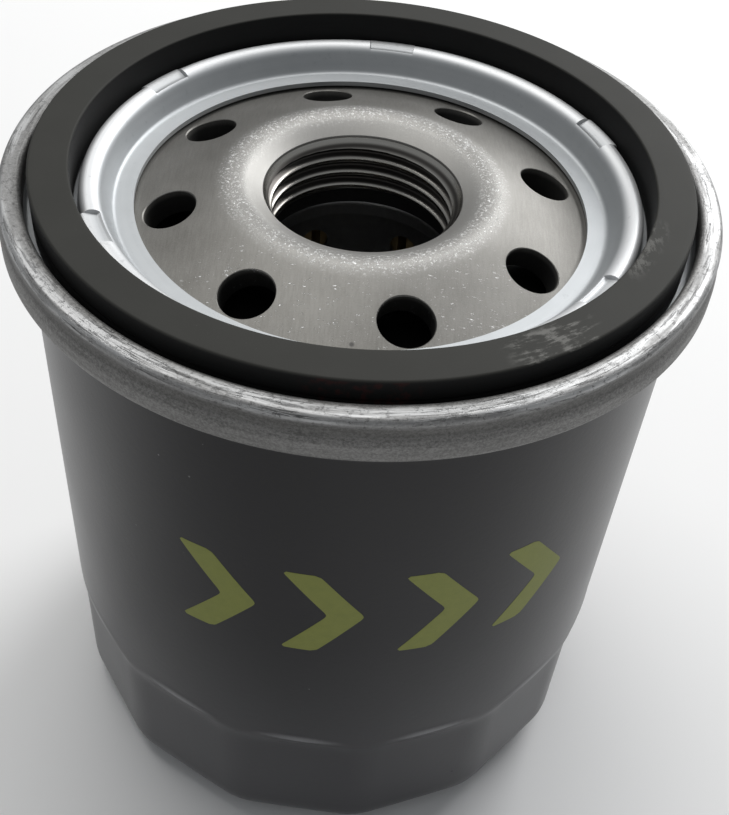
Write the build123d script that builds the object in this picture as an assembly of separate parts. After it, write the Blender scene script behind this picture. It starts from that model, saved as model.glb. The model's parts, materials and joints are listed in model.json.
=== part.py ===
from build123d import *
import os
from math import cos, pi, radians, sin, tan

# Spin-on oil filter. +Z is the filter's axis and points out of the threaded end.
# The origin is the centre of the closed end, where the filter stands.
# All lengths are millimetres and all angles are degrees.

os.makedirs("parts", exist_ok=True)

# ---- clearances ----
film = 0.02              # lacquer between pressed sheets
seat_gap = 0.05          # between parts that bear on each other but move apart
slip_gap = 0.10          # between parts that slide past each other
tight_bend = 0.05        # least radius on the inside of a bent sheet

# ---- can ----
can_r = 32.0             # outside radius of the body
can_length = 72.0        # closed end to the crest of the seam
can_sheet = 0.4
end_edge_radius = 4.5    # rounding between the wall and the closed end
end_recess_r = 14.0      # stiffening recess pressed into the closed end
end_recess_depth = 1.0
recess_wall_run = 1.0    # radial run of the recess's sloping wall
flat_count = 14          # wrench flats round the closed end
flats_length = 18.6      # closed end to the foot of the flats' shoulders
shoulder_angle = 30.0    # slope of a shoulder away from the axis
flat_corner_drop = 0.06  # how far the corners between flats lie inside the can radius
first_flat_azimuth = -94.5

# ---- lid and double seam ----
lid_sheet = 0.5
chuck_inset = 0.1        # can radius to the outer wall of the gasket channel
seam_height = 4.5
seam_crest_radius = 0.9
chuck_crest_radius = 0.58
hook_overlap = 2.3       # how far the two hooks run past each other
flare_length = 2.4       # where the can widens below the seam
channel_depth = 3.1      # seam crest to the channel floor
lip_drop = 1.0           # seam crest to the lip crest
lip_width = 1.5
lip_crest_radius = 0.7
flange_drop = 3.7        # seam crest to the flange that the plate is welded to
lip_slope_run = 1.55     # radial run of the lip's sloping inner wall
flange_width = 1.9       # between the lip's foot and the opening over the base plate
tab_count = 6            # places where the lip is pressed out against the gasket
tab_angle = 11.0
tab_reach = 0.42
tab_height = 1.1
first_tab_azimuth = -94.6
weld_height = 0.25       # projections that the flange is spot welded through
weld_r = 0.7

# ---- gasket ----
gasket_width = 3.75
gasket_outer_gap = 0.65  # to the channel's outer wall
gasket_inner_gap = 0.55  # to the lip
gasket_proud = 1.5       # above the seam crest
gasket_edge_radius = 0.35

# ---- base plate: thread 3/4-16 UNF, tapped to its minor diameter ----
plate_sheet = 2.5
plate_margin = 1.0       # between the plate's rim and the can wall
cone_inset = 0.2         # lid opening to the foot of the cone
cone_slope = 18.1
cone_crest_run = 2.77    # mouth edge to the crest
cone_crest_radius = 3.0
mouth_bevel_run = 0.73   # thread to the mouth edge
mouth_drop = 2.8         # seam crest to the edge of the mouth
thread_minor_r = 8.8
mouth_bevel_drop = 1.22
barrel_end_drop = 8.9    # seam crest to the inner end of the barrel
barrel_wall = 2.5
barrel_root_radius = 1.5
inlet_count = 8
inlet_r = 2.63
inlet_inset = 3.08       # foot of the cone to the hole circle
first_inlet_azimuth = 14.1

# ---- anti-drain-back valve, one rubber moulding: bead and skirt ----
bead_wall = 1.85
bead_height = 2.0
bead_clear = 0.9         # thread to the bead's bore
collar_height = 1.5
skirt_sheet = 1.1
skirt_clear = 0.4        # left under the skirt at the end of its travel
lip_seat_run = 3.45      # edge of the inlet holes to the skirt's lip
lip_run = 1.2
lip_rise = 0.75
skirt_travel = 0.8

# ---- filter element ----
oil_space = 4.6          # can wall to the end caps
cap_sheet = 0.4
cap_rim = 3.5
cap_bend = 0.8
neck_clear = 1.2         # thread to the top cap's neck
neck_length = 1.8
neck_bend = 0.6
port_r = 6.0             # bypass port in the bottom cap
tube_inner_r = 13.2
tube_sheet = 0.4
tube_hole_r = 1.6
tube_holes_round = 8
tube_hole_rows = 6
potting_depth = 2.0
media_embed = 0.5        # cap to the end of the paper
pleat_count = 36
paper = 0.5
pleat_gap = 0.25         # half the open width inside a fold
media_clear = 0.9        # from the paper to the tube and to the cap rims
clip_sheet = 0.35
clip_leg = 4.0

# ---- bypass valve, in the bottom cap ----
seal_inner_r = 6.2
seal_margin = 0.4        # how far the seal runs past the disc
seal_sheet = 0.8
disc_clear = 1.3         # disc to the cage wall
disc_sheet = 1.2
boss_r = 2.6
boss_height = 2.0
cage_sheet = 0.5
cage_height = 12.0
cage_flange = 2.5        # width of the flange outside the cage wall
cage_clear = 0.3         # flange to the centre tube
cage_window_width = 8.0
cage_window_height = 7.0
cage_window_sill = 3.0
cage_vent_r = 1.5
coil_wire = 0.7
coil_r = 3.6
coil_turns = 5

# ---- leaf spring between the element and the closed end ----
spring_height = 9.0
spring_sheet = 0.7
spring_hole_r = 9.0
spring_ring_r = 16.0
leg_count = 3
leg_width = 8.0
leg_clear = 2.5          # foot to the rounding of the closed end
leg_foot = 3.5
leg_bend_radius = 1.5

# ---- heights and radii that follow ----
can_inner_r = can_r - can_sheet
chuck_r = can_r - chuck_inset
gasket_outer_r = chuck_r - gasket_outer_gap
gasket_inner_r = gasket_outer_r - gasket_width
lip_r = gasket_inner_r - gasket_inner_gap
flange_fold_r = lip_r - lip_width - lip_slope_run
lid_opening_r = flange_fold_r - flange_width
cone_start_r = lid_opening_r - cone_inset
mouth_r = thread_minor_r + mouth_bevel_run
cone_crest_r = mouth_r + cone_crest_run
inlet_circle_r = cone_start_r - inlet_inset
lip_seat_r = inlet_circle_r + inlet_r + lip_seat_run
bead_inner_r = thread_minor_r + bead_clear
neck_r = thread_minor_r + neck_clear
element_r = can_inner_r - oil_space
cage_flange_r = tube_inner_r - cage_clear
cage_r = cage_flange_r - cage_flange
disc_r = cage_r - cage_sheet - disc_clear
seal_outer_r = disc_r + seal_margin
leg_tip_r = can_r - end_edge_radius - leg_clear
leg_foot_r = leg_tip_r - leg_foot
neck_in = chuck_r + lid_sheet + film
neck_out = neck_in + can_sheet
lid_hook_in = neck_out + film
lid_hook_out = lid_hook_in + lid_sheet
can_hook_in = lid_hook_out + film
can_hook_out = can_hook_in + can_sheet
seam_r = can_hook_out + film + lid_sheet
seam_bottom = can_length - seam_height
hook_ceiling = can_length - lid_sheet - film
channel_floor = can_length - channel_depth
lip_crest = can_length - lip_drop
flange_top = can_length - flange_drop
gasket_top = can_length + gasket_proud
plate_top = flange_top - lid_sheet - weld_height
plate_bottom = plate_top - plate_sheet
plate_r = can_inner_r - plate_margin
barrel_end = can_length - barrel_end_drop
barrel_r = thread_minor_r + barrel_wall
mouth_top = can_length - mouth_drop
bead_top = barrel_end - seat_gap
bead_bottom = bead_top - bead_height
bead_outer_r = barrel_r + seat_gap + bead_wall
top_cap_z = bead_bottom - seat_gap
bottom_cap_z = can_sheet + seat_gap + spring_height + seat_gap
cap_floor = bottom_cap_z + cap_sheet + film
cap_ceiling = top_cap_z - cap_sheet - film
tube_r = tube_inner_r + tube_sheet
media_inner_r = tube_r + media_clear
media_outer_r = element_r - cap_sheet - media_clear
media_bottom = cap_floor + media_embed
media_top = cap_ceiling - media_embed
seal_top = cap_floor + seal_sheet
disc_bottom = seal_top + seat_gap
disc_top = disc_bottom + disc_sheet
cage_top = cap_floor + cage_height


def spun(outline, arc=360.0):
    """A closed outline of (radius, height) points turned about the filter's axis."""
    face = make_face(Polyline(*outline, close=True))
    return revolve(Plane.XZ * face, Axis.Z, arc)


def ring(inner_r, outer_r, bottom, top):
    """A plain ring between two radii and two heights."""
    corners = [(inner_r, bottom), (outer_r, bottom), (outer_r, top), (inner_r, top)]
    return spun(corners)


def strip(points, radii, thickness):
    """The face of a bent sheet: one skin through the points, the sheet on its right."""
    skin = [Vector(*point) for point in points]
    ways = [(end - start).normalized() for start, end in zip(skin, skin[1:])]
    sides = [Vector(way.Y, -way.X) for way in ways]
    back = [skin[0] + sides[0] * thickness]
    back_radii = []
    for i, radius in enumerate(radii):
        mitre = (sides[i] + sides[i + 1]) / (1 + sides[i].dot(sides[i + 1]))
        back.append(skin[i + 1] + mitre * thickness)
        turns_left = ways[i].cross(ways[i + 1]).Z > 0
        back_radii.append(radius + thickness if turns_left else max(radius - thickness, tight_bend))
    back.append(skin[-1] + sides[-1] * thickness)
    front_line = FilletPolyline(*skin, radius=radii)
    back_line = FilletPolyline(*back, radius=back_radii)
    ends = [Line(skin[0], back[0]), Line(skin[-1], back[-1])]
    return make_face([front_line, back_line, *ends])


def bent_sheet(points, radii, thickness):
    """A bent sheet turned about the filter's axis."""
    return revolve(Plane.XZ * strip(points, radii, thickness), Axis.Z)


def around(count, first=0.0):
    """Rotations that repeat a thing evenly round the axis."""
    return [Rot(0, 0, first + 360.0 * i / count) for i in range(count)]


def save(shape, node):
    """Write one sub-part."""
    shape.label = node
    export_step(shape, f"parts/{node}.step")


# ---- can ----
def flats_cut(inset):
    """Everything outside the wrench flats of a skin that lies inset inside the can."""
    flat_distance = (can_r - flat_corner_drop) * cos(pi / flat_count) - inset
    clear = 2 * can_r - flat_distance
    shoulder_rise = (clear - flat_distance) / tan(radians(shoulder_angle))
    half_width = can_r * tan(pi / flat_count)
    side = [
        (flat_distance, -1.0),
        (clear, -1.0),
        (clear, flats_length + shoulder_rise),
        (flat_distance, flats_length),
    ]
    wedge = extrude(Plane.XZ * make_face(Polyline(*side, close=True)), half_width, both=True)
    cut = Part()
    for turn in around(flat_count, first_flat_azimuth):
        cut += turn * wedge
    return cut


def can_body(inset):
    """The can's solid volume, shrunk by inset, up to the foot of the flare."""
    corner = end_edge_radius - inset
    recess_top = end_recess_depth + inset
    wall = can_r - inset
    flare_foot = seam_bottom - flare_length
    outline = Polyline(
        (0, recess_top),
        (end_recess_r - recess_wall_run, recess_top),
        (end_recess_r, inset),
        (wall - corner, inset),
    )
    edge = RadiusArc((wall - corner, inset), (wall, inset + corner), -corner)
    rest = Polyline((wall, inset + corner), (wall, flare_foot), (0, flare_foot), (0, recess_top))
    solid = revolve(Plane.XZ * make_face([outline, edge, rest]), Axis.Z)
    return solid - flats_cut(inset)


def can_neck():
    """The flare below the seam, the neck inside it and the can's hook."""
    flare_foot = seam_bottom - flare_length
    skin = [
        (can_r, flare_foot),
        (can_r, flare_foot + 0.3),
        (neck_out, seam_bottom),
        (neck_out, hook_ceiling - can_sheet),
        (can_hook_in, hook_ceiling - can_sheet),
        (can_hook_in, seam_bottom + lid_sheet + 0.3),
    ]
    bend = (can_hook_in - neck_out) / 2 - tight_bend
    return Plane.XZ * strip(skin[::-1], [bend, bend, 1.0, 0.2], can_sheet)


can = can_body(0.0) - can_body(can_sheet) + revolve(can_neck(), Axis.Z)
save(can, "can")

# ---- lid: flange, lip, gasket channel and the outside of the seam ----
lid_skin = [
    (lid_opening_r, flange_top),
    (flange_fold_r, flange_top),
    (lip_r - lip_width, lip_crest),
    (lip_r, lip_crest),
    (lip_r, channel_floor),
    (chuck_r, channel_floor),
    (chuck_r, can_length),
    (seam_r, can_length),
    (seam_r, seam_bottom),
    (lid_hook_in, seam_bottom),
    (lid_hook_in, seam_bottom + lid_sheet + hook_overlap),
]
lid_bends = [1.2, lip_crest_radius, lip_crest_radius, 0.3, 0.3, chuck_crest_radius]
lid_bends += [seam_crest_radius, 0.65, 0.65]
lid = bent_sheet(lid_skin, lid_bends, lid_sheet)
tab_top = lip_crest - lip_crest_radius + 0.2
tab_outline = [
    (lip_r - 0.1, tab_top - tab_height),
    (lip_r + tab_reach, tab_top - tab_height / 2),
    (lip_r + tab_reach, tab_top - 0.1),
    (lip_r - 0.1, tab_top),
]
tab = Rot(0, 0, -tab_angle / 2) * spun(tab_outline, tab_angle)
for turn in around(tab_count, first_tab_azimuth):
    lid += turn * tab
weld_place = (lid_opening_r + flange_fold_r) / 2
weld_overlap = 0.1
projection = Pos(weld_place, 0, plate_top) * extrude(
    Circle(weld_r), weld_height + weld_overlap
)
for turn in around(tab_count, first_tab_azimuth + 180.0 / tab_count):
    lid += turn * projection
save(lid, "seaming_lid")

# ---- sealing compound in the seam, under the can's hook ----
compound_bottom = seam_bottom + lid_sheet + hook_overlap + film
compound_top = hook_ceiling - can_sheet - (can_hook_in - neck_out) / 2
save(ring(lid_hook_in, lid_hook_out, compound_bottom, compound_top), "seam_compound")

# ---- gasket ----
gasket = ring(gasket_inner_r, gasket_outer_r, channel_floor + film, gasket_top)
gasket = fillet(gasket.edges().filter_by(GeomType.CIRCLE), gasket_edge_radius)
save(gasket, "gasket")

# ---- base plate ----
slope = tan(radians(cone_slope))
cone_rise = (cone_start_r - cone_crest_r) * slope
half_turn = tan(radians(cone_slope / 2))
cone_foot_r = cone_start_r - plate_sheet * half_turn
barrel_root_z = plate_bottom + (cone_foot_r - barrel_r) * slope
top_skin = FilletPolyline(
    (plate_r, plate_top),
    (cone_start_r, plate_top),
    (cone_crest_r, plate_top + cone_rise),
    (mouth_r, mouth_top),
    (thread_minor_r, mouth_top - mouth_bevel_drop),
    (thread_minor_r, barrel_end),
    radius=[1.0, cone_crest_radius, 0.15, 0.15],
)
under_skin = FilletPolyline(
    (thread_minor_r, barrel_end),
    (barrel_r, barrel_end),
    (barrel_r, barrel_root_z),
    (cone_foot_r, plate_bottom),
    (plate_r, plate_bottom),
    (plate_r, plate_top),
    radius=[0.3, barrel_root_radius, 1.0, 0.3],
)
plate = revolve(Plane.XZ * make_face([top_skin, under_skin]), Axis.Z)
inlet_z = plate_top + (cone_start_r - inlet_circle_r) * slope
inlet = Pos(inlet_circle_r, 0, inlet_z) * Rot(0, cone_slope, 0) * Cylinder(inlet_r, 4 * plate_sheet)
for turn in around(inlet_count, first_inlet_azimuth):
    plate -= turn * inlet
save(plate, "base_plate")

# ---- anti-drain-back valve ----
bead = spun(
    [
        (bead_inner_r, bead_bottom),
        (bead_outer_r, bead_bottom),
        (bead_outer_r, bead_top + collar_height),
        (barrel_r + seat_gap, bead_top + collar_height),
        (barrel_r + seat_gap, bead_top),
        (bead_inner_r, bead_top),
    ]
)
save(bead, "drainback_valve_bead")

lip_top = plate_bottom - seat_gap
skirt_root_z = top_cap_z + skirt_travel + skirt_clear + skirt_sheet
skirt = bent_sheet(
    [
        (bead_outer_r + slip_gap, skirt_root_z),
        (lip_seat_r - lip_run, lip_top - lip_rise),
        (lip_seat_r, lip_top),
    ],
    [2.0],
    skirt_sheet,
)
skirt &= ring(bead_outer_r + slip_gap, can_inner_r, bead_bottom, lip_top)
save(skirt, "drainback_valve_skirt")

# ---- filter element: caps, tube, paper, potting, clip ----
top_cap = bent_sheet(
    [
        (neck_r, top_cap_z - neck_length),
        (neck_r, top_cap_z),
        (element_r, top_cap_z),
        (element_r, top_cap_z - cap_rim),
    ],
    [neck_bend, cap_bend],
    cap_sheet,
)
save(top_cap, "element_top_cap")

bottom_cap = bent_sheet(
    [(element_r, bottom_cap_z + cap_rim), (element_r, bottom_cap_z), (port_r, bottom_cap_z)],
    [cap_bend],
    cap_sheet,
)
save(bottom_cap, "element_bottom_cap")

tube = ring(tube_inner_r, tube_r, cap_floor, cap_ceiling)
tube_hole = Rot(0, 90, 0) * Cylinder(tube_hole_r, 2 * tube_sheet)
tube_hole_pitch = (cap_ceiling - cap_floor) / (tube_hole_rows + 1)
tube_holes = Part()
for row in range(tube_hole_rows):
    stagger = (row % 2) * 180.0 / tube_holes_round
    height = cap_floor + (row + 1) * tube_hole_pitch
    for turn in around(tube_holes_round, stagger):
        tube_holes += turn * Pos(tube_inner_r + tube_sheet / 2, 0, height) * tube_hole
save(tube - tube_holes, "centre_tube")


def pleated_outline(fold_out_r, fold_in_r, half_out, half_in):
    """One skin of the paper: flat folds of the given half widths, joined by straight legs."""
    pitch = 2 * pi / pleat_count
    points = []
    for i in range(pleat_count):
        middle = i * pitch
        for radius, angle in (
            (fold_out_r, middle - half_out / fold_out_r),
            (fold_out_r, middle + half_out / fold_out_r),
            (fold_in_r, middle + pitch / 2 - half_in / fold_in_r),
            (fold_in_r, middle + pitch / 2 + half_in / fold_in_r),
        ):
            points.append((radius * cos(angle), radius * sin(angle)))
    return make_face(Polyline(*points, close=True))


outer_skin = pleated_outline(media_outer_r, media_inner_r + paper, pleat_gap + paper, pleat_gap)
inner_skin = pleated_outline(media_outer_r - paper, media_inner_r, pleat_gap, pleat_gap + paper)
media_face = outer_skin - inner_skin
media = Pos(0, 0, media_bottom) * extrude(media_face, media_top - media_bottom)
save(media, "pleated_media")

fold_half = pleat_gap + paper
leg_end_half = (media_inner_r + paper) * sin(pi / pleat_count) - pleat_gap
leg_spread = (leg_end_half - fold_half) / (media_outer_r - media_inner_r - paper)
clip_in = fold_half + seat_gap
clip_leg_in = clip_in + clip_leg * leg_spread
clip_out_r = media_outer_r + seat_gap + clip_sheet
clip_low = cap_floor + potting_depth + seat_gap
clip_high = cap_ceiling - potting_depth - seat_gap
clip_section = [
    (media_outer_r - clip_leg, clip_leg_in),
    (media_outer_r + seat_gap, clip_in),
    (media_outer_r + seat_gap, -clip_in),
    (media_outer_r - clip_leg, -clip_leg_in),
    (media_outer_r - clip_leg, -clip_leg_in - clip_sheet),
    (clip_out_r, -clip_in - clip_sheet),
    (clip_out_r, clip_in + clip_sheet),
    (media_outer_r - clip_leg, clip_leg_in + clip_sheet),
]
clip = Pos(0, 0, clip_low) * extrude(
    make_face(Polyline(*clip_section, close=True)), clip_high - clip_low
)
save(clip, "pleat_seam_clip")

def potting(cap_face, away):
    """Adhesive in a cap, up to its rim bend and round the end of the paper."""
    outer_r = element_r - cap_sheet - film
    bend = cap_bend - cap_sheet
    open_face = cap_face + away * potting_depth
    outline = [
        (tube_r + film, cap_face),
        (outer_r - bend, cap_face),
        (outer_r, cap_face + away * bend),
        (outer_r, open_face),
        (tube_r + film, open_face),
    ]
    return spun(outline) - media


save(potting(cap_floor, 1), "lower_potting")
save(potting(cap_ceiling, -1), "upper_potting")

# ---- bypass valve ----
save(ring(seal_inner_r, seal_outer_r, cap_floor, seal_top), "bypass_seat_seal")

disc = Pos(0, 0, disc_bottom) * extrude(Circle(disc_r), disc_sheet)
boss = Pos(0, 0, disc_top) * extrude(Circle(boss_r), boss_height)
disc = fillet((disc + boss).edges().group_by(Axis.Z)[-1], 0.4)
save(disc, "bypass_disc")

cage = spun(
    [
        (cage_flange_r, cap_floor),
        (cage_flange_r, cap_floor + cage_sheet),
        (cage_r, cap_floor + cage_sheet),
        (cage_r, cage_top),
        (cage_vent_r, cage_top),
        (cage_vent_r, cage_top - cage_sheet),
        (cage_r - cage_sheet, cage_top - cage_sheet),
        (cage_r - cage_sheet, cap_floor),
    ]
)
window = Pos(cage_r, 0, cap_floor + cage_window_sill + cage_window_height / 2) * Box(
    4 * cage_sheet, cage_window_width, cage_window_height
)
for turn in around(4):
    cage -= turn * window
save(cage, "bypass_cage")

coil_bottom = disc_top + coil_wire / 2 + seat_gap
coil_top = cage_top - cage_sheet - coil_wire / 2 - seat_gap
coil_height = coil_top - coil_bottom
coil_path = Helix(coil_height / coil_turns, coil_height, coil_r, center=(0, 0, coil_bottom))
coil_section = Plane(coil_path @ 0, z_dir=coil_path % 0) * Circle(coil_wire / 2)
save(sweep(coil_section, path=coil_path, is_frenet=True), "bypass_spring")

# ---- leaf spring ----
spring_foot = can_sheet + seat_gap
spring_top = spring_foot + spring_height
spring_ring = ring(spring_hole_r, spring_ring_r, spring_top - spring_sheet, spring_top)
leg_skin = [
    (spring_hole_r + spring_sheet, spring_top),
    (spring_ring_r, spring_top),
    (leg_foot_r, spring_foot + spring_sheet),
    (leg_tip_r, spring_foot + spring_sheet),
]
leg_face = Plane.XZ * strip(leg_skin, [leg_bend_radius + spring_sheet, leg_bend_radius], spring_sheet)
leg = extrude(leg_face, leg_width / 2, both=True)
leaf_spring = spring_ring
for turn in around(leg_count, 90.0):
    leaf_spring += turn * leg
leaf_spring -= Pos(0, 0, spring_top) * Cylinder(spring_hole_r, 4 * spring_sheet)
save(leaf_spring, "element_spring")
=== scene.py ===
import bpy
import bmesh
import json
import math
from mathutils import Matrix, Vector


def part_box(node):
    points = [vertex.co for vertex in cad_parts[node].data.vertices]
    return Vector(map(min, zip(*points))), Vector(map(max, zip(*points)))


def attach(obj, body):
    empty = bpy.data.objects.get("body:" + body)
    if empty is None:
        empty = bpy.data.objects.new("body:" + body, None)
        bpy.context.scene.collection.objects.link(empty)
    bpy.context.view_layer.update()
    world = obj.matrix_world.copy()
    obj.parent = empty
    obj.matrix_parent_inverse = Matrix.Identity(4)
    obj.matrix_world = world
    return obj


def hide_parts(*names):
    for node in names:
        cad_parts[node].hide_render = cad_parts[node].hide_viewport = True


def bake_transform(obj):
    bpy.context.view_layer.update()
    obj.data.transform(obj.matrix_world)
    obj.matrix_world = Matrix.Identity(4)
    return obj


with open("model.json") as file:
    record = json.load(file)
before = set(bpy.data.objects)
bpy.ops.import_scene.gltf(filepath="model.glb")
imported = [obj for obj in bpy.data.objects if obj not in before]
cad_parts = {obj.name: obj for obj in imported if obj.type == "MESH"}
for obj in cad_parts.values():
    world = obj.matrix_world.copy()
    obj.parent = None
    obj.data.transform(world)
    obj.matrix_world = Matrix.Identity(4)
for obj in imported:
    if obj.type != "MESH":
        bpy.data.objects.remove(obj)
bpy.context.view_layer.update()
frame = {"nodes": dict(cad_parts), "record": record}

MM = 0.001

# ---- heights and radii of the filter, in millimetres ----
lid_low, lid_high = (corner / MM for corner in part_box("seaming_lid"))
gasket_low, gasket_high = (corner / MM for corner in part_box("gasket"))
plate_low, plate_high = (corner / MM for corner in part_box("base_plate"))
seam_crest = lid_high.z
seam_foot = seam_crest - 4.5
seam_r = min(lid_high.x, lid_high.y, -lid_low.x, -lid_low.y)
gasket_top = gasket_high.z
channel_floor = gasket_low.z
can_r = 32.0
can_sheet = 0.4
lid_sheet = 0.5
chuck_r = can_r - 0.1
neck_r = chuck_r + lid_sheet + can_sheet + 0.02
hook_r = seam_r - lid_sheet - can_sheet - 0.02
lip_r = 26.95
lip_crest = seam_crest - 1.0
flange_top = seam_crest - 3.7
opening_r = 22.0
plate_top = flange_top - 0.75
plate_r = plate_high.x
thread_mount = next(m for m in frame["record"]["mounts"] if m["name"] == "engine_thread")
thread_minor_r = thread_mount["dims"]["r_mm"]
thread_pitch = 25.4 / 16
thread_depth = 0.725
barrel_end = plate_low.z
cone_angle = 18.1
cone_start = opening_r - 0.2
cone_slope = math.tan(math.radians(cone_angle))
mouth_top = seam_crest - 2.8

# ---- what repeats round the axis ----
FLATS, FIRST_FLAT = 14, -94.5
TABS, FIRST_TAB = 6, -94.6
INLETS, FIRST_INLET = 8, 14.1


# ---- profiles: lists of (radius, height) ----
def rounded(points, radii, step=7.0):
    """The line through the points, its corners turned to arcs with a vertex each step degrees."""
    line = [Vector(points[0])]
    for before, corner, after, radius in zip(points, points[1:], points[2:], radii):
        before, corner, after = Vector(before), Vector(corner), Vector(after)
        way_in, way_out = (corner - before).normalized(), (after - corner).normalized()
        turn = math.acos(max(-1.0, min(1.0, way_in.dot(way_out))))
        side = 1.0 if way_in.x * way_out.y - way_in.y * way_out.x > 0 else -1.0
        centre = corner - way_in * radius * math.tan(turn / 2)
        centre += Vector((-way_in.y, way_in.x)) * side * radius
        start = corner - way_in * radius * math.tan(turn / 2) - centre
        count = max(2, math.ceil(math.degrees(turn) / step))
        for i in range(count + 1):
            angle = side * turn * i / count
            spoke = Matrix.Rotation(angle, 2) @ start
            line.append(centre + spoke)
    line.append(Vector(points[-1]))
    return line


def backed(points, radii, thickness, step=14.0):
    """The other skin of a sheet: the same line set over to its right, its bends turned with it."""
    skin = [Vector(point) for point in points]
    ways = [(b - a).normalized() for a, b in zip(skin, skin[1:])]
    sides = [Vector((way.y, -way.x)) for way in ways]
    back, back_radii = [skin[0] + sides[0] * thickness], []
    for i, radius in enumerate(radii):
        mitre = (sides[i] + sides[i + 1]) / (1 + sides[i].dot(sides[i + 1]))
        back.append(skin[i + 1] + mitre * thickness)
        left = ways[i].x * ways[i + 1].y - ways[i].y * ways[i + 1].x > 0
        back_radii.append(radius + thickness if left else max(radius - thickness, 0.05))
    back.append(skin[-1] + sides[-1] * thickness)
    return rounded(back, back_radii, step)


def filled(line, step):
    """The same line with no stretch longer than step."""
    full = [line[0]]
    for start, end in zip(line, line[1:]):
        count = max(1, math.ceil((end - start).length / step))
        full += [start.lerp(end, (i + 1) / count) for i in range(count)]
    return full


def smooth(value, low, high):
    """0 below low, 1 above high, and an even slope between."""
    t = max(0.0, min(1.0, (value - low) / (high - low)))
    return t * t * (3 - 2 * t)


def soft_least(a, b, blend):
    """The smaller of a and b, rounded where they cross."""
    near = max(0.0, 1 - abs(a - b) / blend)
    return min(a, b) - blend * near * near / 4


def from_nearest(azimuth, count, first):
    """Degrees from the nearest of count places spaced evenly round the axis."""
    pitch = 360.0 / count
    return (azimuth - first + pitch / 2) % pitch - pitch / 2


# ---- meshes ----
def new_piece(name, mesh, body, finishes):
    """A shown piece with its materials, which rides on a body unless body is None."""
    piece = bpy.data.objects.new(name, mesh)
    bpy.context.scene.collection.objects.link(piece)
    for finish in finishes:
        mesh.materials.append(finish)
    if body:
        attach(piece, body)
    return piece


def even(count):
    """Azimuths of that many columns, evenly spaced."""
    return [360.0 * column / count for column in range(count)]


def turned(name, profile, azimuths, shape=None, zone=None, closed=True, crease=40):
    """A mesh turned about the axis. shape moves a vertex, given radius, height, azimuth and row."""
    columns = len(azimuths)
    mesh = bpy.data.meshes.new(name)
    build = bmesh.new()
    rows = []
    for row, point in enumerate(profile):
        if point[0] < 1e-6:
            rows.append([build.verts.new((0, 0, point[1] * MM))])
            continue
        ring = []
        for azimuth in azimuths:
            radius, height = point[0], point[1]
            if shape:
                radius, height = shape(radius, height, azimuth, row)
            angle = math.radians(azimuth)
            place = Vector((radius * math.cos(angle), radius * math.sin(angle), height))
            ring.append(build.verts.new(place * MM))
        rows.append(ring)
    pairs = list(zip(rows, rows[1:]))
    if closed:
        pairs.append((rows[-1], rows[0]))
    for index, (low, high) in enumerate(pairs):
        if len(low) == len(high) == 1:
            continue
        for column in range(columns):
            beyond = (column + 1) % columns
            if len(low) == 1:
                corners = (low[0], high[beyond], high[column])
            elif len(high) == 1:
                corners = (low[column], low[beyond], high[0])
            else:
                corners = (low[column], low[beyond], high[beyond], high[column])
            face = build.faces.new(corners)
            face.smooth = True
            if zone:
                face.material_index = zone(index)
    bmesh.ops.recalc_face_normals(build, faces=build.faces)
    build.to_mesh(mesh)
    build.free()
    mesh.set_sharp_from_angle(angle=math.radians(crease))
    return mesh


# ---- shader maths ----
class Wire:
    """An output socket. Sums and products of wires and numbers add Math nodes."""

    def __init__(self, finish, socket):
        self.finish, self.socket = finish, socket

    def __add__(self, other):
        return self.finish.maths("ADD", self, other)

    __radd__ = __add__

    def __sub__(self, other):
        return self.finish.maths("SUBTRACT", self, other)

    def __rsub__(self, other):
        return self.finish.maths("SUBTRACT", other, self)

    def __mul__(self, other):
        return self.finish.maths("MULTIPLY", self, other)

    __rmul__ = __mul__

    def __truediv__(self, other):
        return self.finish.maths("DIVIDE", self, other)

    def __pow__(self, other):
        return self.finish.maths("POWER", self, other)


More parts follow.
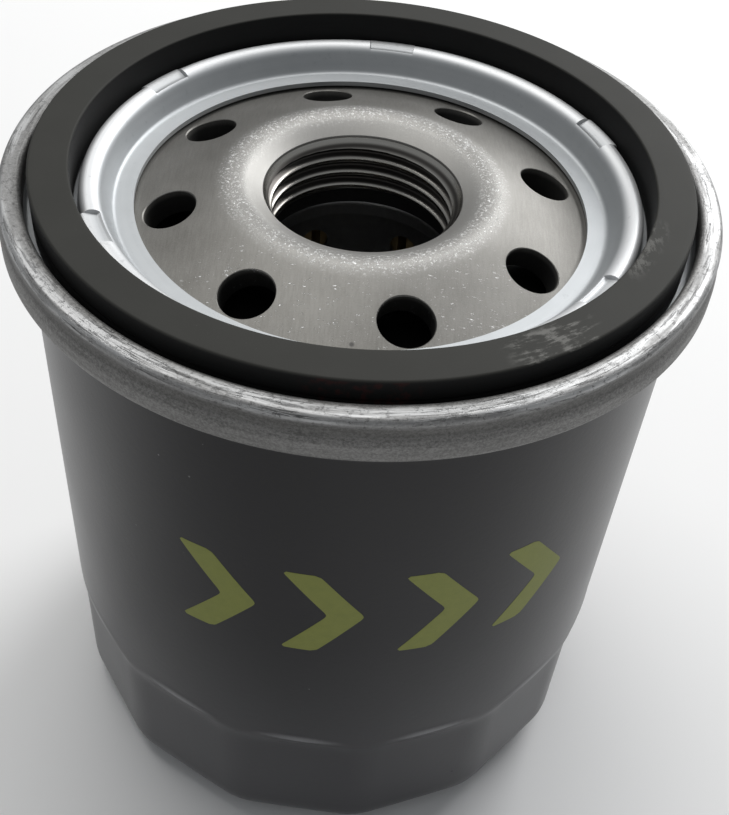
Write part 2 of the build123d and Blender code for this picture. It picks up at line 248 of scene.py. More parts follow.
class Finish:
    """One procedural material."""

    def __init__(self, name):
        self.material = bpy.data.materials.new(name)
        self.material.use_nodes = True
        self.tree = self.material.node_tree
        self.tree.nodes.clear()
        self.shader = self.tree.nodes.new("ShaderNodeBsdfPrincipled")
        out = self.tree.nodes.new("ShaderNodeOutputMaterial")
        self.tree.links.new(self.shader.outputs[0], out.inputs[0])
        place = self.node("ShaderNodeTexCoord", output="Object")
        scaled = {0: place, 3: 1 / MM}
        self.spot = self.node("ShaderNodeVectorMath", {"operation": "SCALE"}, scaled)
        self.x = self.node("ShaderNodeSeparateXYZ", {}, {0: self.spot}, "X")
        self.y = self.node("ShaderNodeSeparateXYZ", {}, {0: self.spot}, "Y")
        self.z = self.node("ShaderNodeSeparateXYZ", {}, {0: self.spot}, "Z")
        self.radius = (self.x * self.x + self.y * self.y) ** 0.5

    def node(self, kind, settings=None, inputs=None, output=0):
        """A node of that kind: its settings first, then its sockets' values or wires."""
        node = self.tree.nodes.new(kind)
        for key, value in (settings or {}).items():
            setattr(node, key, value)
        for key, value in (inputs or {}).items():
            if isinstance(value, Wire):
                self.tree.links.new(value.socket, node.inputs[key])
            else:
                node.inputs[key].default_value = value
        return Wire(self, node.outputs[output])

    def maths(self, operation, first, second=0.0):
        return self.node("ShaderNodeMath", {"operation": operation}, {0: first, 1: second})

    def step(self, value, low, high):
        """0 where value is below low, 1 above high, smooth between."""
        sockets = {"Value": value, "From Min": low, "From Max": high}
        return self.node("ShaderNodeMapRange", {"interpolation_type": "SMOOTHSTEP"}, sockets)

    def band(self, value, middle, width, soft):
        """1 within width of the middle value and 0 beyond, over a soft edge."""
        off = self.maths("ABSOLUTE", value - middle)
        return 1 - self.step(off, width, width + soft)

    def stretched(self, x=1.0, y=1.0, z=1.0):
        """Position in millimetres, scaled by axis."""
        sockets = {0: self.spot, 1: (x, y, z)}
        return self.node("ShaderNodeVectorMath", {"operation": "MULTIPLY"}, sockets)

    def noise(self, scale, detail=2.0, rough=0.5, vector=None):
        """Cloudy noise, scale in cycles a millimetre."""
        sockets = {"Vector": vector or self.spot, "Scale": scale, "Detail": detail, "Roughness": rough}
        return self.node("ShaderNodeTexNoise", {}, sockets, "Fac")

    def circling(self, along, across, detail=3.0, rough=0.6):
        """Noise in streaks that run round the axis: cycles a millimetre along and across them."""
        round_x = self.x / self.radius * (can_r * along)
        round_y = self.y / self.radius * (can_r * along)
        level = self.z * across
        vector = self.node("ShaderNodeCombineXYZ", {}, {0: round_x, 1: round_y, 2: level})
        sockets = {"Vector": vector, "W": self.radius * across, "Scale": 1.0}
        sockets.update({"Detail": detail, "Roughness": rough})
        return self.node("ShaderNodeTexNoise", {"noise_dimensions": "4D"}, sockets, "Fac")

    def specks(self, scale, size):
        """Small round spots: 1 at their middles, 0 between. size is a share of their spacing."""
        sockets = {"Vector": self.spot, "Scale": scale, "Randomness": 1.0}
        far = self.node("ShaderNodeTexVoronoi", {}, sockets, "Distance")
        return 1 - self.step(far, size * 0.5, size)

    def mix(self, factor, first, second):
        """A colour between two."""
        settings = {"data_type": "RGBA"}
        return self.node("ShaderNodeMix", settings, {0: factor, 6: first, 7: second}, 2)

    def azimuth_window(self, middle, width, soft):
        """1 within width degrees of an azimuth."""
        angle = math.radians(middle)
        ahead = self.x * math.cos(angle) + self.y * math.sin(angle)
        cosine = ahead / self.radius
        near, far = math.cos(math.radians(width)), math.cos(math.radians(width + soft))
        return self.step(cosine, far, near)

    def set(self, **values):
        """Sockets of the shader, by name with underscores for spaces."""
        for key, value in values.items():
            socket = self.shader.inputs[key.replace("_", " ")]
            if isinstance(value, Wire):
                self.tree.links.new(value.socket, socket)
            else:
                socket.default_value = value

    def bumps(self, height, depth):
        """Relief of that depth in millimetres where height runs from 0 to 1."""
        sockets = {"Strength": 1.0, "Distance": depth * MM, "Height": height}
        self.set(Normal=self.node("ShaderNodeBump", {}, sockets))


def grey(value, tint=(0.0, 0.0, 0.0)):
    """A linear grey, nudged by a small amount of red, green and blue."""
    return tuple(max(0.0, value + part) for part in tint) + (1.0,)


def can_paint():
    """Satin charcoal baked paint with orange peel, dust and pinholes; painted highlights on the ridges
    over the flats, and painted lighter towards the bottom as the floor's reflection.
    """
    f = Finish("can_paint")
    peel = f.noise(1.6, 2.0)
    fine = f.noise(9.0, 2.0)
    cloud = f.noise(0.09, 2.0)
    # Painted reflection: the paint is lightened towards the bottom, as the pale floor's reflection.
    painted_floor_reflection = 1 - f.step(f.z, 4.0, 44.0)
    body = f.mix(cloud, grey(0.002, (0, 0, 0.001)), grey(0.004, (0.001, 0, 0.002)))
    body = f.mix(painted_floor_reflection * 0.65, body, grey(0.105, (0.001, 0, 0.005)))
    dust = f.specks(0.28, 0.035) * f.step(f.noise(0.2), 0.5, 0.62)
    holes = f.specks(0.13, 0.022)
    # Painted highlight: the ridge over each flat, where the shoulder swells past the can's radius, is
    # lightened as a bright streak.
    bright_streaks = f.step(f.radius, can_r + 0.008, can_r + 0.06) * (1 - f.step(f.z, 25.0, 26.0))
    colour = f.mix(dust * 0.55, body, grey(0.25))
    colour = f.mix(holes, colour, grey(0.003))
    colour = f.mix(bright_streaks * 0.7, colour, grey(0.27, (0, 0, 0.01)))
    f.set(Base_Color=colour, Metallic=0.0, Roughness=0.25 + 0.09 * fine + 0.06 * cloud)
    f.set(Specular_IOR_Level=0.31, Sheen_Weight=0.08, Sheen_Roughness=0.30)
    f.bumps(peel * 0.7 + fine * 0.3, 0.010)
    return f.material


def print_ink():
    """Yellow-green screen print, a little thin and mottled."""
    f = Finish("print_ink")
    mottle = f.noise(1.1, 4.0, 0.65)
    grain = f.noise(12.0, 2.0)
    colour = f.mix(mottle, (0.175, 0.195, 0.030, 1), (0.235, 0.255, 0.043, 1))
    colour = f.mix(f.step(grain, 0.62, 0.75) * 0.5, colour, (0.10, 0.115, 0.03, 1))
    f.set(Base_Color=colour, Roughness=0.50 + 0.12 * grain)
    f.bumps(grain, 0.006)
    return f.material


def seam_zinc():
    """Zinc plate rolled dull and grainy, its crest worn bright in streaks by rubbing and pitted dark,
    with a painted highlight on the crest's outer bead, painted shade in the groove under it and a
    painted lighter lower band.
    """
    f = Finish("seam_zinc")
    streak = f.circling(0.12, 2.0, 4.0, 0.6)
    broad = f.circling(0.06, 0.6, 2.0)
    grain = f.noise(4.0, 5.0, 0.75, f.stretched(1.0, 1.0, 1.3))
    crest = f.step(f.z, seam_crest - 1.1, seam_crest - 0.4)
    top = f.band(f.z, seam_crest - 0.40, 0.12, 0.5)
    # Painted light: the lower band is lightened.
    low = 1 - f.step(f.z, seam_foot + 0.6, seam_foot + 2.6)
    # Streaks worn bright by rubbing on the crest.
    bright_streaks = f.step(streak * 0.6 + broad * 0.4, 0.45, 0.57) * crest
    scored = f.circling(0.20, 3.4, 5.0, 0.75)
    dark = f.step(scored, 0.54, 0.60) * f.step(broad, 0.40, 0.50)
    pits = f.step(f.noise(1.8, 5.0, 0.80, f.stretched(1, 1, 1.6)), 0.56, 0.62)
    tone = f.step(grain * 0.7 + streak * 0.3, 0.38, 0.62)
    # Painted shade: the groove under the bead is darkened.
    groove = f.band(f.z, seam_crest - 1.35, 0.35, 0.60)
    outer = f.step(f.radius, chuck_r + 0.35, chuck_r + 0.95) * crest
    # Painted highlight: the crest, and most of all its outer bead, is lightened, on top of the streaks
    # worn bright by rubbing.
    shine = crest * 0.06 + outer * 0.22 + bright_streaks * (0.15 + 0.35 * outer)
    base = f.mix(tone, grey(0.125, (0.003, 0.001, -0.003)), grey(0.265, (0.005, 0.002, -0.004)))
    base = f.mix(low * 0.22, base, grey(0.32, (0.005, 0.002, -0.005)))
    base = f.mix(groove * 0.45, base, grey(0.07, (0.003, 0.001, -0.002)))
    base = f.mix(shine, base, grey(0.58, (0, 0.005, 0.010)))
    base = f.mix(dark * (0.30 + 0.55 * top) * crest, base, grey(0.045))
    base = f.mix(pits * (0.22 + 0.40 * top), base, grey(0.05, (0.003, 0.001, 0)))
    f.set(Base_Color=base, Metallic=0.85, Roughness=0.52 - 0.10 * bright_streaks + 0.12 * grain)
    f.bumps(grain * 0.5 + streak * 0.2 - pits * 0.4 - dark * crest * 0.6, 0.022)
    return f.material


def lid_zinc():
    """Bright bluish zinc plate on the lip and flange, satin, with draw lines round it; the lip's crest
    is painted near white as a highlight.
    """
    f = Finish("lid_zinc")
    draw = f.circling(0.06, 2.4, 3.0)
    cloud = f.noise(0.5, 3.0)
    grain = f.noise(14.0, 2.0)
    stain = f.step(f.noise(1.3, 4.0, 0.65), 0.60, 0.72)
    crest = f.step(f.z, lip_crest - 0.7, lip_crest - 0.1)
    dull, clear = grey(0.40, (-0.013, 0.006, 0.020)), grey(0.51, (-0.013, 0.004, 0.016))
    base = f.mix(draw * 0.6 + cloud * 0.4, dull, clear)
    # Painted highlight: the lip's crest is lightened near white.
    base = f.mix(crest * 0.8, base, grey(0.82, (-0.01, 0, 0.010)))
    base = f.mix(stain * 0.25, base, grey(0.26, (0, 0.01, 0.03)))
    f.set(Base_Color=base, Metallic=0.65, Roughness=0.41 + 0.10 * draw + 0.08 * grain)
    f.bumps(draw * 0.7 + grain * 0.3, 0.008)
    return f.material


def plate_steel():
    """Bare pressed steel: rolling grain across it, and a crest round the mouth that is partly burnished
    and sparkling, partly a painted highlight; the funnel inside it painted lighter as a highlight, and
    painted shade inside the inlet holes.
    """
    f = Finish("plate_steel")
    rolled = f.noise(1.0, 4.0, 0.65, f.stretched(5.0, 0.45, 1.0))
    fine = f.noise(7.0, 3.0, 0.6)
    cloud = f.noise(0.16, 3.0)
    crest = f.band(f.radius, 12.5, 0.5, 1.6) * f.step(f.z, plate_top + 1.2, plate_top + 2.2)
    # Painted highlight: a broad lighter ring round the crest.
    halo = f.band(f.radius, 12.8, 0.5, 3.2)
    sparkle = f.step(f.noise(3.6, 5.0, 0.80), 0.52, 0.66)
    satin = f.noise(6.0, 3.0, 0.7)
    funnel = (1 - f.step(f.radius, 11.2, 12.0)) * f.step(f.z, plate_top + 1.0, plate_top + 1.5)
    nicks = f.step(f.noise(1.5, 5.0, 0.80, f.stretched(1.0, 2.4, 1.0)), 0.615, 0.650)
    front = f.azimuth_window(-88, 40, 18) * f.band(f.radius, 17.8, 2.6, 2.0)
    oil = f.specks(0.10, 0.035)
    # Painted shade: where the steel lies below the cone's face, down the inlet holes, it is darkened.
    sunk = plate_top + (cone_start - f.radius) * cone_slope - f.z
    walls = f.step(sunk, 0.25, 0.8) * f.step(f.radius, 14.5, 15.5)
    tone = rolled * 0.30 + cloud * 0.35 + fine * 0.35
    dull, clear = grey(0.128, (0.007, 0.003, -0.007)), grey(0.225, (0.009, 0.004, -0.009))
    base = f.mix(f.step(tone, 0.25, 0.75), dull, clear)
    base = f.mix(halo * 0.15, base, grey(0.36, (0.01, 0.005, -0.01)))
    # The crest band is lightened, partly burnish and partly painted highlight; its sparkle is burnished
    # metal.
    base = f.mix(crest * (0.12 + 0.30 * satin), base, grey(0.50, (0.01, 0.005, -0.01)))
    base = f.mix(crest * sparkle * 0.75, base, grey(0.95))
    # Painted highlight: the funnel inside the crest is lightened.
    base = f.mix(funnel * 0.45, base, grey(0.44, (0.01, 0.004, -0.01)))
    base = f.mix(nicks * front, base, grey(0.85))
    base = f.mix(oil * 0.7, base, grey(0.04))
    base = f.mix(walls * 0.8, base, grey(0.03))
    rough = 0.46 + 0.12 * fine - 0.14 * crest * sparkle
    f.set(Base_Color=base, Metallic=0.82, Roughness=rough)
    f.bumps(rolled * 0.25 + fine * 0.35 + crest * sparkle * 0.8 - nicks * front * 0.6, 0.02)
    return f.material


def thread_steel():
    """Cut steel, bright on the crests and painted near black between them as shade."""
    f = Finish("thread_steel")
    lines = f.circling(0.04, 3.0, 2.0)
    mouth = f.step(f.z, mouth_top - 0.8, mouth_top - 0.5)
    depth = f.step(f.radius, thread_minor_r + 0.04, thread_minor_r + 0.35) * (1 - mouth)
    base = f.mix(lines, grey(0.40, (0.03, 0.015, -0.02)), grey(0.54, (0.03, 0.015, -0.02)))
    # Painted shade: the thread's grooves are darkened near black.
    base = f.mix(depth * 0.92, base, grey(0.035, (0.006, 0.002, 0)))
    f.set(Base_Color=base, Metallic=1.0, Roughness=0.20 + 0.08 * lines + 0.15 * depth)
    f.bumps(lines, 0.003)
    return f.material


def gasket_rubber():
    """Matt moulded nitrile: its face painted lighter and its walls painted near black, lit and shaded
    copies of one rubber; scuffed in two places.
    """
    f = Finish("gasket_rubber")
    grain = f.noise(6.0, 4.0, 0.65)
    cloud = f.noise(0.22, 3.0)
    face = f.step(f.z, gasket_top - 0.22, gasket_top - 0.04)
    lines = f.circling(0.10, 5.0, 3.0)
    smeared = f.step(f.circling(0.35, 2.2, 6.0, 0.72) * 0.6 + f.noise(0.45, 5.0, 0.7) * 0.4, 0.48, 0.57)
    scraped = f.step(f.noise(0.6, 6.0, 0.75, f.stretched(2.2, 1.0, 1.0)), 0.48, 0.56)
    scuffs = f.azimuth_window(-57, 3, 7) * f.step(f.radius, 27.4, 28.4) * smeared
    scuffs = scuffs + f.azimuth_window(-25, 4, 7) * f.step(29.4 - f.radius, 0.0, 1.4) * scraped * 0.6
    lint = f.step(f.noise(0.9, 5.0, 0.8, f.stretched(3.0, 1.0, 1.0)), 0.68, 0.71)
    # Painted shade: the walls are near black, darker than the face, which is painted lighter as lit.
    wall = f.mix(lines, grey(0.004), grey(0.009))
    clean, dusty = grey(0.016, (0.001, 0.001, -0.002)), grey(0.031, (0.001, 0.001, -0.003))
    top = f.mix(cloud * 0.6 + grain * 0.4, clean, dusty)
    base = f.mix(face, wall, top)
    base = f.mix(scuffs * face * 0.65, base, grey(0.20, (0.004, 0.001, -0.01)))
    base = f.mix(lint * face * 0.2, base, grey(0.16))
    smudge = f.azimuth_window(-88, 5, 5) * (1 - face) * f.step(f.noise(1.4, 3.0), 0.45, 0.7)
    base = f.mix(smudge * 0.5, base, (0.06, 0.010, 0.008, 1))
    f.set(Base_Color=base, Roughness=0.62 + 0.16 * grain, Specular_IOR_Level=0.32)
    f.bumps(grain * 0.6 + scuffs * 0.4, 0.01)
    return f.material


def valve_rubber():
    """Smooth black moulded rubber with a film of oil."""
    f = Finish("valve_rubber")
    cloud, fine = f.noise(0.6, 3.0), f.noise(8.0)
    f.set(Base_Color=f.mix(cloud, grey(0.006), grey(0.012)), Roughness=0.45 + 0.2 * cloud)
    f.bumps(fine, 0.008)
    return f.material


def tinplate():
    """Thin tinned steel with faint roll lines."""
    f = Finish("tinplate")
    rolled, fine = f.noise(0.8, 4.0, 0.6, f.stretched(0.4, 6.0, 1.0)), f.noise(6.0)
    base = f.mix(rolled, grey(0.26), grey(0.40, (0, 0.004, 0.01)))
    f.set(Base_Color=base, Metallic=0.9, Roughness=0.3 + 0.12 * fine)
    f.bumps(rolled * 0.6 + fine * 0.4, 0.008)
    return f.material


def filter_paper():
    """Resin-treated cellulose: fibres and a warm tan cast."""
    f = Finish("filter_paper")
    fibre, cloud = f.noise(5.0, 5.0, 0.75, f.stretched(1.0, 1.0, 0.4)), f.noise(0.4, 3.0)
    base = f.mix(fibre * 0.6 + cloud * 0.4, (0.36, 0.25, 0.11, 1), (0.55, 0.42, 0.21, 1))
    f.set(Base_Color=base, Roughness=0.85 + 0.1 * fibre)
    f.bumps(fibre, 0.05)
    return f.material


def plastisol():
    """Cured end-cap adhesive, brick red, with small voids."""
    f = Finish("plastisol")
    cloud, voids = f.noise(0.7, 4.0), f.specks(0.9, 0.12)
    base = f.mix(cloud, (0.22, 0.035, 0.022, 1), (0.36, 0.07, 0.04, 1))
    f.set(Base_Color=f.mix(voids * 0.6, base, grey(0.02)), Roughness=0.45 + 0.2 * cloud)
    f.bumps(cloud - voids, 0.03)
    return f.material


def spring_steel():
    """Oiled dark spring steel."""
    f = Finish("spring_steel")
    fine, cloud = f.noise(7.0, 3.0), f.noise(0.5, 3.0)
    f.set(Base_Color=f.mix(cloud, grey(0.16), grey(0.26)), Metallic=1.0, Roughness=0.28 + 0.16 * fine)
    f.bumps(fine, 0.006)
    return f.material


def compound():
    """Grey sealing compound."""
    f = Finish("compound")
    cloud = f.noise(1.5, 4.0)
    f.set(Base_Color=f.mix(cloud, grey(0.08), grey(0.14)), Roughness=0.6 + 0.2 * cloud)
    f.bumps(cloud, 0.02)
    return f.material


# ---- the can ----
def can_piece():
    end_radius, recess_r, recess_depth = 4.5, 14.0, 1.0
    flare_foot = seam_foot - 2.4
    hook_top = seam_crest - lid_sheet - 0.02 - can_sheet
    outer = [
        (0.0, recess_depth),
        (recess_r - 1.0, recess_depth),
        (recess_r, 0.0),
        (can_r, 0.0),
        (can_r, flare_foot + 0.3),
        (neck_r, seam_foot),
        (neck_r, hook_top),
        (hook_r, hook_top),
        (hook_r, seam_foot + lid_sheet + 0.3),
    ]
    bend = (hook_r - neck_r) / 2 - 0.05
    radii = [0.9, 0.9, end_radius, 1.6, 1.0, bend, bend]
    front = filled(rounded(outer[::-1], radii[::-1], 10.0), 0.50)
    back = backed(outer[::-1], radii[::-1], can_sheet)
    back = filled(back, 1.8)[::-1]
    corner_drop, corner_blend, wall_blend = 0.06, 0.8, 0.40
    shoulder_foot, shoulder_bend, shoulder_slope = 18.9, 0.8, math.tan(math.radians(38))
    ridge, ridge_width = 0.06, 0.6
    pitch = 2 * math.pi / FLATS
    flat = (can_r - corner_drop) * math.cos(pitch / 2)
    count = len(front)

    def flatten(radius, height, azimuth, row):
        """Presses the 14 flats: soft corners between them, and a shoulder and a faint ridge above."""
        inset = 0.0 if row < count else can_sheet
        if height > shoulder_foot + 5.0 or radius < can_r - inset - end_radius - 4.0:
            return radius, height
        above = height - shoulder_foot
        rise = (above + math.hypot(above, shoulder_bend)) / 2 * shoulder_slope
        off = math.radians(from_nearest(azimuth, FLATS, FIRST_FLAT))
        planes = [(flat - inset + rise) / math.cos(off + k * pitch) for k in (-1, 0, 1)]
        corner = soft_least(planes[0], planes[1], corner_blend)
        corner = soft_least(corner, planes[2], corner_blend)
        pressed = can_r - flat / math.cos(off)
        depth = max(0.0, pressed / (can_r - flat))
        ridge_z = shoulder_foot + pressed / shoulder_slope + ridge_width
        swell = ridge * depth**2 * math.exp(-(((height - ridge_z) / ridge_width) ** 2))
        round_end = max(0.0, min(1.0, 1 - height / end_radius))
        share = 0.35 + 0.65 * math.sqrt(1 - round_end**2)
        shrink = soft_least(can_r - inset, corner, wall_blend) + swell - (can_r - inset)
        return radius + shrink * share, height

    mesh = turned("can", front + back, even(FLATS * 20), flatten)
    piece = new_piece("can_shell", mesh, "root", [can_paint()])
    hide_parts("can")


# ---- the lid and the outside of the seam ----
def lid_piece():
    fold_r, gap = 23.9, 0.02
    channel = [
        (lip_r, lip_crest),
        (lip_r, channel_floor - gap),
        (chuck_r, channel_floor - gap),
        (chuck_r, seam_crest),
    ]
    hem = [(neck_r + gap, seam_foot), (neck_r + gap, seam_foot + lid_sheet + 2.3)]
    plain = [(opening_r, flange_top), (fold_r, flange_top), (lip_r - 1.5, lip_crest)]
    plain += channel + [(seam_r, seam_crest), (seam_r, seam_foot)] + hem
    plain_bends = [1.2, 0.7, 0.7, 0.3, 0.3, 0.58, 0.9, 0.65, 0.65]
    rolled = [
        (seam_r - 0.14, seam_crest),
        (seam_r - 0.36, seam_crest - 1.55),
        (seam_r - 0.01, seam_crest - 2.70),
        (seam_r, seam_foot),
    ]
    shown = [(opening_r, flange_top), (fold_r, flange_top), (lip_r - 1.72, lip_crest)]
    shown += channel + rolled + hem
    bends = [0.6, 1.5, 0.8, 0.3, 0.3, 0.50, 0.60, 1.6, 1.6, 0.5, 0.6]
    front = filled(rounded(shown, bends, 9.0), 0.32)
    back = filled(backed(plain, plain_bends, lid_sheet), 1.2)[::-1]
    count = len(front)
    tab_half, tab_edge = 5.35, 0.12
    scoop_depth, push, lift = 0.42, 0.30, 0.4

    def press_tabs(radius, height, azimuth, row):
        """At each tab a punch has scooped the crest from inside and pushed its outer edge out."""
        drop = lip_crest - (lid_sheet if row >= count else 0.0) - height
        if not lip_r - 2.0 < radius < lip_r + 0.1 or drop > 1.8:
            return radius, height
        off = abs(from_nearest(azimuth, TABS, FIRST_TAB))
        window = 1 - smooth(off, tab_half - tab_edge, tab_half + tab_edge)
        fade = 1 - 0.6 * smooth(radius, lip_r - 1.35, lip_r - 0.25)
        scoop = scoop_depth * smooth(radius, lip_r - 1.85, lip_r - 1.35) * fade
        pushed = push * smooth(radius, lip_r - 1.5, lip_r - 0.4) * (1 - smooth(drop, 0.6, 1.6))
        lifted = lift * min(drop, 0.8) * (1 - smooth(drop, 0.8, 1.5))
        lifted *= smooth(radius, lip_r - 1.0, lip_r - 0.5)
        return radius + window * pushed, height + window * (lifted - scoop)

    azimuths, close = even(270), (0.0, 0.06, 0.12, 0.2, 0.36)
    for tab in range(TABS):
        for side in (-1, 1):
            edge = FIRST_TAB + tab * 360.0 / TABS + side * tab_half
            azimuths = [a for a in azimuths if abs((a - edge + 180) % 360 - 180) > 0.45]
            azimuths += sorted({(edge + way * step) % 360 for step in close for way in (-1, 1)})
    azimuths.sort()
    channel_top = (chuck_r - 0.4, channel_floor + 1.0)
    first_seam = next(
        row
        for row, point in enumerate(front)
        if point[0] > channel_top[0] and point[1] > channel_top[1]
    )

    def zone(row):
        return 1 if first_seam <= row < count else 0

    mesh = turned("lid", front + back, azimuths, press_tabs, zone)
    piece = new_piece("lid_and_seam", mesh, "root", [lid_zinc(), seam_zinc()])
    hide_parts("seaming_lid")


# ---- the base plate ----
def plate_piece():
    sheet, crest_r, mouth_r = 2.5, 12.3, thread_minor_r + 0.85
    bore_top = mouth_top - 1.25
    barrel_r = thread_minor_r + 2.5
    foot_r = cone_start - sheet * math.tan(math.radians(cone_angle / 2))
    root_z = plate_top - sheet + (foot_r - barrel_r) * cone_slope
    top = rounded(
        [
            (plate_r, plate_top),
            (cone_start, plate_top),
            (crest_r, plate_top + (cone_start - crest_r) * cone_slope),
            (mouth_r + 0.07, mouth_top + 0.02),
            (mouth_r + 0.01, mouth_top - 0.22),
            (mouth_r - 0.33, mouth_top - 0.70),
        ],
        [1.0, 3.0, 0.10, 0.08],
        4.0,
    )
    bottom_chamfer, thread_start = 0.3, 0.677
    bore_ends = (bore_top, barrel_end + bottom_chamfer)
    bore = filled([top[-1]] + [Vector((thread_minor_r, height)) for height in bore_ends], 0.045)
    under = rounded(
        [
            (thread_minor_r, barrel_end + bottom_chamfer),
            (thread_minor_r + bottom_chamfer, barrel_end),
            (barrel_r, barrel_end),
            (barrel_r, root_z),
            (foot_r, plate_top - sheet),
            (plate_r, plate_top - sheet),
            (plate_r, plate_top),
        ],
        [0.05, 0.3, 1.5, 1.0, 0.3],
    )
    first_bore, last_bore = len(top), len(top) + len(bore)

    def cut_thread(radius, height, azimuth, row):
        """A right-hand groove with flat crests and flanks of 60 degrees, run out at both ends."""
        if not first_bore <= row < last_bore:
            return radius, height
        turn = (height / thread_pitch - azimuth / 360.0 + thread_start) % 1.0
        groove = smooth(abs(turn - 0.5) * 2, 0.14, 0.90)
        runout = smooth(height, barrel_end + 0.1, barrel_end + 0.6)
        runout *= 1 - smooth(height, bore_top + 0.3, bore_top + 0.55)
        return max(radius, thread_minor_r + thread_depth * groove * runout), height

    def zone(row):
        return 1 if loop[row][0] < mouth_r + 0.05 and row < last_bore else 0

    loop = top + bore[1:] + under[1:-1]
    mesh = turned("plate", loop, even(384), cut_thread, zone)
    piece = new_piece("threaded_plate", mesh, "root", [plate_steel(), thread_steel()])
    drill_inlets(piece)
    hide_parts("base_plate")


def drill_inlets(piece):
    """Cuts the inlet holes square to the cone, each with a small chamfer at its mouth."""
    inlet_r, circle_r, chamfer, reach = 2.63, cone_start - 3.08, 0.13, 6.0
    drill = [
        (0.0, -reach),
        (inlet_r, -reach),
        (inlet_r, -0.12),
        (inlet_r + chamfer, 0.03),
        (inlet_r + chamfer, reach),
        (0.0, reach),
    ]
    middle = Vector((circle_r, 0, plate_top + (cone_start - circle_r) * cone_slope)) * MM
    tilt = Matrix.Translation(middle) @ Matrix.Rotation(math.radians(cone_angle), 4, "Y")
    drill_mesh = bpy.data.meshes.new("drill")
    build = bmesh.new()
    for hole in range(INLETS):
        spin = Matrix.Rotation(math.radians(FIRST_INLET + hole * 360.0 / INLETS), 4, "Z")
        one = turned("one_drill", [Vector(point) for point in drill], even(72), closed=False)
        one.transform(spin @ tilt)
        build.from_mesh(one)
        bpy.data.meshes.remove(one)
    build.to_mesh(drill_mesh)
    build.free()
    drills = bpy.data.objects.new("drills", drill_mesh)
    bpy.context.scene.collection.objects.link(drills)
    cut = piece.modifiers.new("inlets", "BOOLEAN")
    cut.operation, cut.object, cut.solver = "DIFFERENCE", drills, "EXACT"
    bpy.context.view_layer.update()
    shown = piece.evaluated_get(bpy.context.evaluated_depsgraph_get())
    drilled = bpy.data.meshes.new_from_object(shown)
    piece.modifiers.clear()
    piece.data = drilled
    bpy.data.objects.remove(drills)
    drilled.shade_smooth()
    drilled.set_sharp_from_angle(angle=math.radians(32))


# ---- the gasket ----
def gasket_piece():
    inner_r, outer_r = 27.5, 31.25
    middle = ((inner_r + outer_r) / 2, gasket_top)
    parting_z, parting_depth, parting_half = gasket_top - 2.2, 0.12, 0.3
    corners = [
        middle,
        (outer_r, gasket_top),
        (outer_r, parting_z + parting_half),
        (outer_r - parting_depth, parting_z),
        (outer_r, parting_z - parting_half),
        (outer_r, channel_floor),
        (inner_r, channel_floor),
        (inner_r, gasket_top),
        middle,
    ]
    bends = [0.28, 0.15, 0.15, 0.15, 0.4, 0.4, 0.22]
    loop = filled(rounded(corners, bends, 9.0), 0.5)[:-1]
    mesh = turned("gasket", loop, even(360))
    piece = new_piece("gasket_ring", mesh, "root", [gasket_rubber()])
    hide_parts("gasket")


# ---- printed marks: chevrons that show which way the filter tightens ----
def marks_piece():
    """Bands of ink, half sunk in the paint, each bent into a chevron with rounded ends."""
    tall, wide, stroke, low, ink = 11.9, 8.0, 3.5, 37.8, 0.015
    nose_reach, nose_blend, corner = 0.97, 0.06, 0.45
    rows, columns = 48, 8
    build = bmesh.new()
    for azimuth in (-110.0, -91.5, -71.3, -53.3):
        skins = []
        for radius in (can_r - ink, can_r + ink):
            grid = []
            for row in range(rows + 1):
                v = row / rows
                nose = soft_least(1 - abs(2 * v - 1), nose_reach, nose_blend)
                left = (wide - stroke) * nose
                near_end = max(0.0, 1 - min(v, 1 - v) * tall / corner)
                trim = corner * (1 - math.sqrt(max(0.0, 1 - near_end**2)))
                line = []
                for column in range(columns + 1):
                    u = left + trim + (stroke - 2 * trim) * column / columns
                    angle = math.radians(azimuth) + (u - wide / 2) / can_r
                    spot = (radius * math.cos(angle), radius * math.sin(angle), low + v * tall)
                    line.append(build.verts.new(Vector(spot) * MM))
                grid.append(line)
            skins.append(grid)
        inner, outer = skins
        for grid in skins:
            for low_row, high_row in zip(grid, grid[1:]):
                for k in range(columns):
                    build.faces.new((low_row[k], low_row[k + 1], high_row[k + 1], high_row[k]))
        rim = [(0, column) for column in range(columns)]
        rim += [(row, columns) for row in range(rows)]
        rim += [(rows, column) for column in range(columns, 0, -1)]
        rim += [(row, 0) for row in range(rows, 0, -1)]
        for (a, b), (c, d) in zip(rim, rim[1:] + rim[:1]):
            build.faces.new((inner[a][b], inner[c][d], outer[c][d], outer[a][b]))
    bmesh.ops.recalc_face_normals(build, faces=build.faces)
    mesh = bpy.data.meshes.new("marks")
    build.to_mesh(mesh)
    build.free()
    new_piece("tightening_marks", mesh, "root", [print_ink()])


# ---- pieces inside the can keep their CAD shape ----
def inner_pieces():
    finishes = {
        "valve_rubber": valve_rubber(),
        "tinned_steel": tinplate(),
        "filter_paper": filter_paper(),
        "plastisol": plastisol(),
        "compound": compound(),
    }
    for part in frame["record"]["subparts"]:
        finish = finishes.get(part["material_slot"])
        if finish:
            mesh = frame["nodes"][part["node"]].data
            mesh.materials.clear()
            mesh.materials.append(finish)


# ---- springs: copies of the CAD springs, in oiled spring steel ----
def spring_pieces():
    finish = spring_steel()
    low_grip = 0.6
    for name, node, low_body, high_body, high_grip in (
        ("leaf_spring", "element_spring", "root", "element", 0.8),
        ("bypass_coil", "bypass_spring", "bypass_valve", "element", 0.6),
    ):
        low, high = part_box(node)
        packed = frame["nodes"][node]
        bpy.context.view_layer.update()
        mesh = packed.data.copy()
        mesh.transform(packed.matrix_world)
        mesh.materials.clear()
        piece = new_piece(name, mesh, None, [finish])
        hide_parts(node)
        start, end = (0, 0, low.z + low_grip * MM), (0, 0, high.z - high_grip * MM)
        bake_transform(piece)
        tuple(start)
        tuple(end)


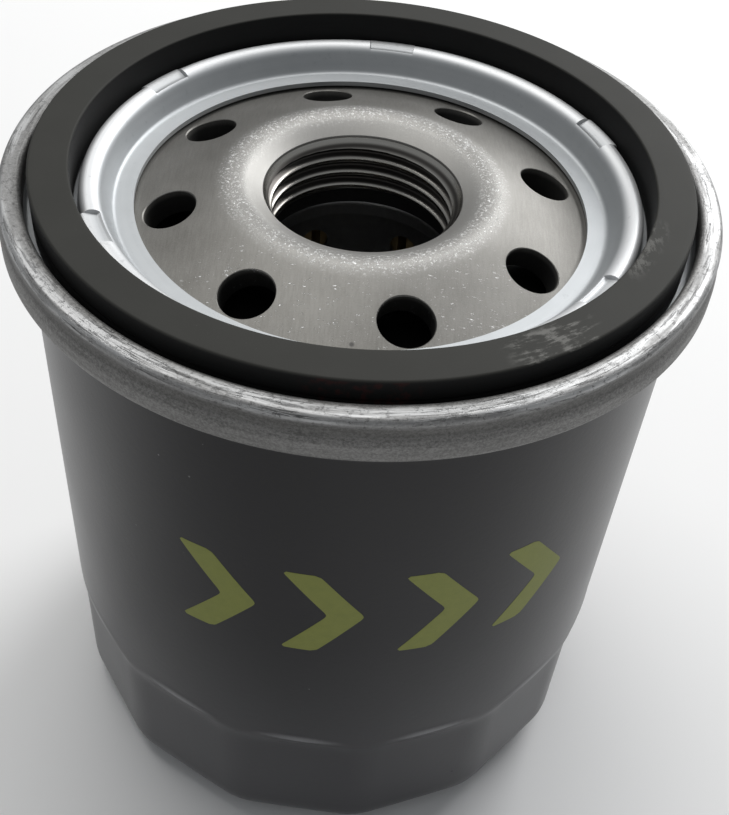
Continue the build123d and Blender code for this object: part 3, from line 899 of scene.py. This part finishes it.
# ---- the room ----
def studio():
    """A pale floor, an even sky and two soft lights."""
    floor_mesh = bpy.data.meshes.new("floor")
    reach = 4.0
    corners = [(-reach, -reach, 0), (reach, -reach, 0), (reach, reach, 0), (-reach, reach, 0)]
    floor_mesh.from_pydata(corners, [], [(0, 1, 2, 3)])
    floor = bpy.data.objects.new("floor", floor_mesh)
    bpy.context.scene.collection.objects.link(floor)
    f = Finish("pale_floor")
    colour = f.mix(f.noise(0.02), grey(0.86), grey(0.88))
    f.set(Base_Color=colour, Roughness=0.7 + 0.1 * f.noise(0.05))
    floor_mesh.materials.append(f.material)

    world = bpy.data.worlds.new("sky")
    bpy.context.scene.world = world
    world.use_nodes = True
    sky = world.node_tree.nodes["Background"]
    sky.inputs["Color"].default_value = (0.94, 0.97, 1.0, 1)
    sky.inputs["Strength"].default_value = 0.28

    def soft_light(name, place, size, power, colour=(1, 1, 1)):
        data = bpy.data.lights.new(name, "AREA")
        data.shape, data.size = "DISK", size
        data.energy, data.color = power, colour
        light = bpy.data.objects.new(name, data)
        light.location = place
        aim = Vector((0, 0, 0.05)) - Vector(place)
        light.rotation_euler = aim.to_track_quat("-Z", "Y").to_euler()
        bpy.context.scene.collection.objects.link(light)

    soft_light("key", (0.44, 0.60, 0.50), 0.52, 5.3)
    soft_light("overhead", (-0.15, 0.28, 0.80), 0.66, 3.6, (1.0, 0.99, 0.97))


def camera():
    data = bpy.data.cameras.new("camera")
    data.lens, data.sensor_width = 52.5, 36.0
    data.clip_start, data.clip_end = 0.01, 20.0
    eye = bpy.data.objects.new("camera", data)
    eye.location = Vector((-0.45, -96.47, 135.86)) * MM
    heading, drop, roll = math.radians(1.505), math.radians(44.95), math.radians(-5.35)
    level_share = math.cos(drop)
    aim = Vector((math.sin(heading) * level_share, math.cos(heading) * level_share, -math.sin(drop)))
    level = aim.to_track_quat("-Z", "Y")
    eye.rotation_mode = "QUATERNION"
    eye.rotation_quaternion = Matrix.Rotation(roll, 4, aim).to_quaternion() @ level
    bpy.context.scene.collection.objects.link(eye)
    bpy.context.scene.camera = eye


bpy.context.scene.view_settings.view_transform = "Standard"
camera()
studio()
can_piece()
lid_piece()
plate_piece()
gasket_piece()
marks_piece()
inner_pieces()
spring_pieces()
